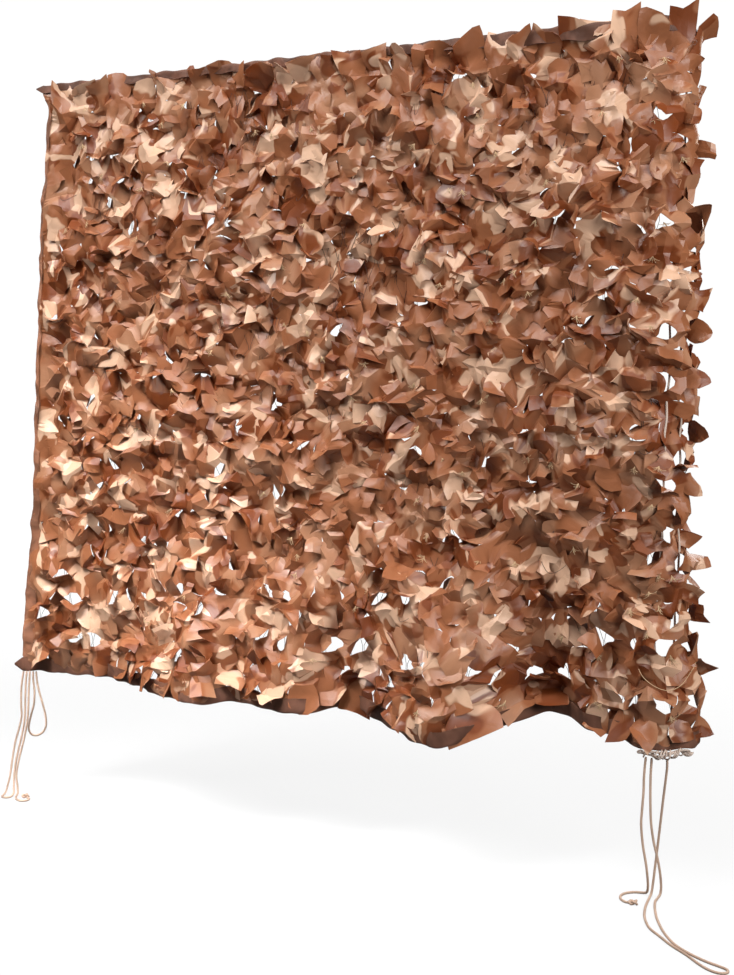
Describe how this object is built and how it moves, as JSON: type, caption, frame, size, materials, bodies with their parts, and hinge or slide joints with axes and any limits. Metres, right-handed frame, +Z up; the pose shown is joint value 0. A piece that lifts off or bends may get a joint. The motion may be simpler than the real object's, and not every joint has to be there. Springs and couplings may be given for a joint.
{
  "type": "camouflage netting",
  "caption": "Leaf-cut camouflage netting hung by its top edge, with taped edges, a curled side border and loose corner ties.",
  "frame": {"origin": "the middle of the top edge, on the cloth's raw edge", "axes": "+X to the right along the top edge as one faces the net, +Z up, so the face of the net looks along -Y"},
  "size_m": [1.9219, 0.4849, 1.8198],
  "materials": {
    "leaf_cloth": "thin coated polyester cloth with a satin sheen, printed in soft-edged browns",
    "binding_tape": "woven tape folded over the cloth's edge, slightly shiny",
    "edge_cord": "matt twisted fibre cord",
    "tie_cord": "matt twisted fibre cord"
  },
  "bodies": {
    "root": {"leaf_cloth": "leaf_cloth", "binding_top": "binding_tape", "binding_bottom": "binding_tape", "binding_left": "binding_tape", "edge_rope_inner": "edge_cord", "edge_rope_outer": "edge_cord", "corner_lashing": "edge_cord", "tie_left_long": "tie_cord", "tie_left_short": "tie_cord", "tie_left_short_knot": "tie_cord", "tie_left_loop": "tie_cord", "tie_right_single": "tie_cord", "tie_right_single_knot": "tie_cord", "tie_right_doubled": "tie_cord"}
  },
  "joints": []
}
